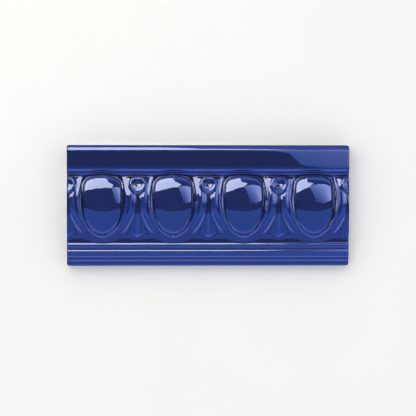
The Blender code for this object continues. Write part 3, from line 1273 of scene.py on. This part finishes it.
@dataclass
class Studio:
    """The floor, the lamp, the panels, the surrounding light and the camera, with sizes in mm."""

    floor_size: float = 6000.0
    panel_level: float = 100.0
    camera_height: float = 900.0
    camera_offset: float = -38.0
    aim: tuple[float, float] = (0.25, -1.37)
    picture_width: float = 226.4
    sensor: float = 36.0
    near_clip: float = 10.0
    far_clip: float = 50000.0
    surround: float = 0.92
    gloss_surround: Colour = (0.05, 0.06, 0.10)
    camera_surround: Colour = (0.80, 0.80, 0.80)

    def key_lamp(self) -> Lamp:
        """The soft key that lights the surfaces from the upper left."""
        return Lamp("key_softbox", centre=(-330, 420, 1200), target=(0, 0, 0), width=800, height=800,
                    colour=(1.0, 1.0, 1.0), glow=2.4)

    def softboxes(self) -> list[Softbox]:
        """The panels that the glaze mirrors: a bright one at the left and dimmer ones round it."""
        left = ((-420, 82), (-160, 51), (-80, 46), (20, 53), (58, 76), (0, 98), (-20, 260), (-420, 270))
        right = ((22, 55), (75, 5), (150, 3), (420, 22), (420, 130), (200, 95), (100, 74))
        foot = ((-700, -26), (-700, -170), (700, -170), (700, -26))
        foot_strip = ((-700, -170), (-700, -800), (700, -800), (700, -170))
        top = ((5, 190), (600, 170), (600, 420), (-30, 420))
        level = self.panel_level
        return [
            Softbox("left_softbox", left, level, glow=(24.0, 21.7, 16.5)),
            Softbox("right_softbox", right, level, glow=(0.9, 1.8, 3.9), far_glow=(9.5, 9.5, 11.5),
                    run_start=(65, 16), run_end=(83, 84)),
            Softbox("foot_panel", foot, level, glow=(0.58, 1.25, 3.45)),
            Softbox("foot_strip", foot_strip, level, glow=(3.6, 3.9, 7.9)),
            Softbox("top_panel", top, level, glow=(2.0, 2.4, 4.0)),
        ]

    def build(self) -> None:
        """Build the floor, the lamp, the panels, the surroundings and the camera."""
        self.build_floor()
        for light in (self.key_lamp(), *self.softboxes()):
            light.build()
        self.build_surround()
        self.build_camera()

    def build_floor(self) -> None:
        """A pale floor, wide enough for every view."""
        half = 0.5 * self.floor_size
        corners = [(-half, -half, 0.0), (half, -half, 0.0), (half, half, 0.0), (-half, half, 0.0)]
        floor = flat_panel("floor", corners, PalePlaster().material())
        floor.visible_glossy = False

    def build_surround(self) -> None:
        """Even light from all round for the surfaces, and a dim room for the gloss to mirror."""
        world = bpy.data.worlds.new("soft_room")
        world.use_nodes = True
        tree = world.node_tree
        tree.nodes.clear()
        desk = NodeDesk(tree)
        path = desk.add("ShaderNodeLightPath")
        output = desk.add("ShaderNodeOutputWorld")
        sky = desk.add("ShaderNodeBackground")
        plain = (self.surround, self.surround, self.surround)
        seen = desk.mix(path.outputs["Is Glossy Ray"], plain, self.gloss_surround)
        desk.join(desk.mix(path.outputs["Is Camera Ray"], seen, self.camera_surround), sky.inputs["Color"])
        desk.join(sky.outputs["Background"], output.inputs["Surface"])
        bpy.context.scene.world = world

    def build_camera(self) -> None:
        """Look down on the tile from a little to its left, with the photograph's framing."""
        data = bpy.data.cameras.new("camera")
        data.sensor_width = self.sensor
        data.lens = self.sensor * self.camera_height / self.picture_width
        data.clip_start = self.near_clip * MM
        data.clip_end = self.far_clip * MM
        camera = bpy.data.objects.new("camera", data)
        place = Vector((self.camera_offset, self.aim[1], self.camera_height)) * MM
        aim = Vector((self.aim[0], self.aim[1], 0.0)) * MM
        forward = (aim - place).normalized()
        right = Vector((-forward.z, 0.0, forward.x)).normalized()
        up = right.cross(forward)
        turn = Matrix((right, up, -forward)).transposed().to_4x4()
        camera.matrix_world = Matrix.Translation(place) @ turn
        bpy.context.scene.collection.objects.link(camera)
        bpy.context.scene.camera = camera
        bpy.context.scene.view_settings.view_transform = "Standard"


def main() -> None:
    """Build the tile and the studio in order, and report each piece."""
    logging.basicConfig(level=logging.INFO, format="%(name)s: %(message)s")
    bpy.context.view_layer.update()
    finishes = {Face.GLAZED: BlueGlaze(), Face.BARE: BareClay()}
    tile = TileBody().build()
    for face in Face:
        tile.data.materials.append(finishes[face].material())
    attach(tile, BODY)
    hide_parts(CAD_NODE)
    LOG.info("glazed tile: %d faces", len(tile.data.polygons))
    Studio().build()
    LOG.info("studio: floor, lamps, surroundings and camera")


if __name__ == "__main__":
    main()
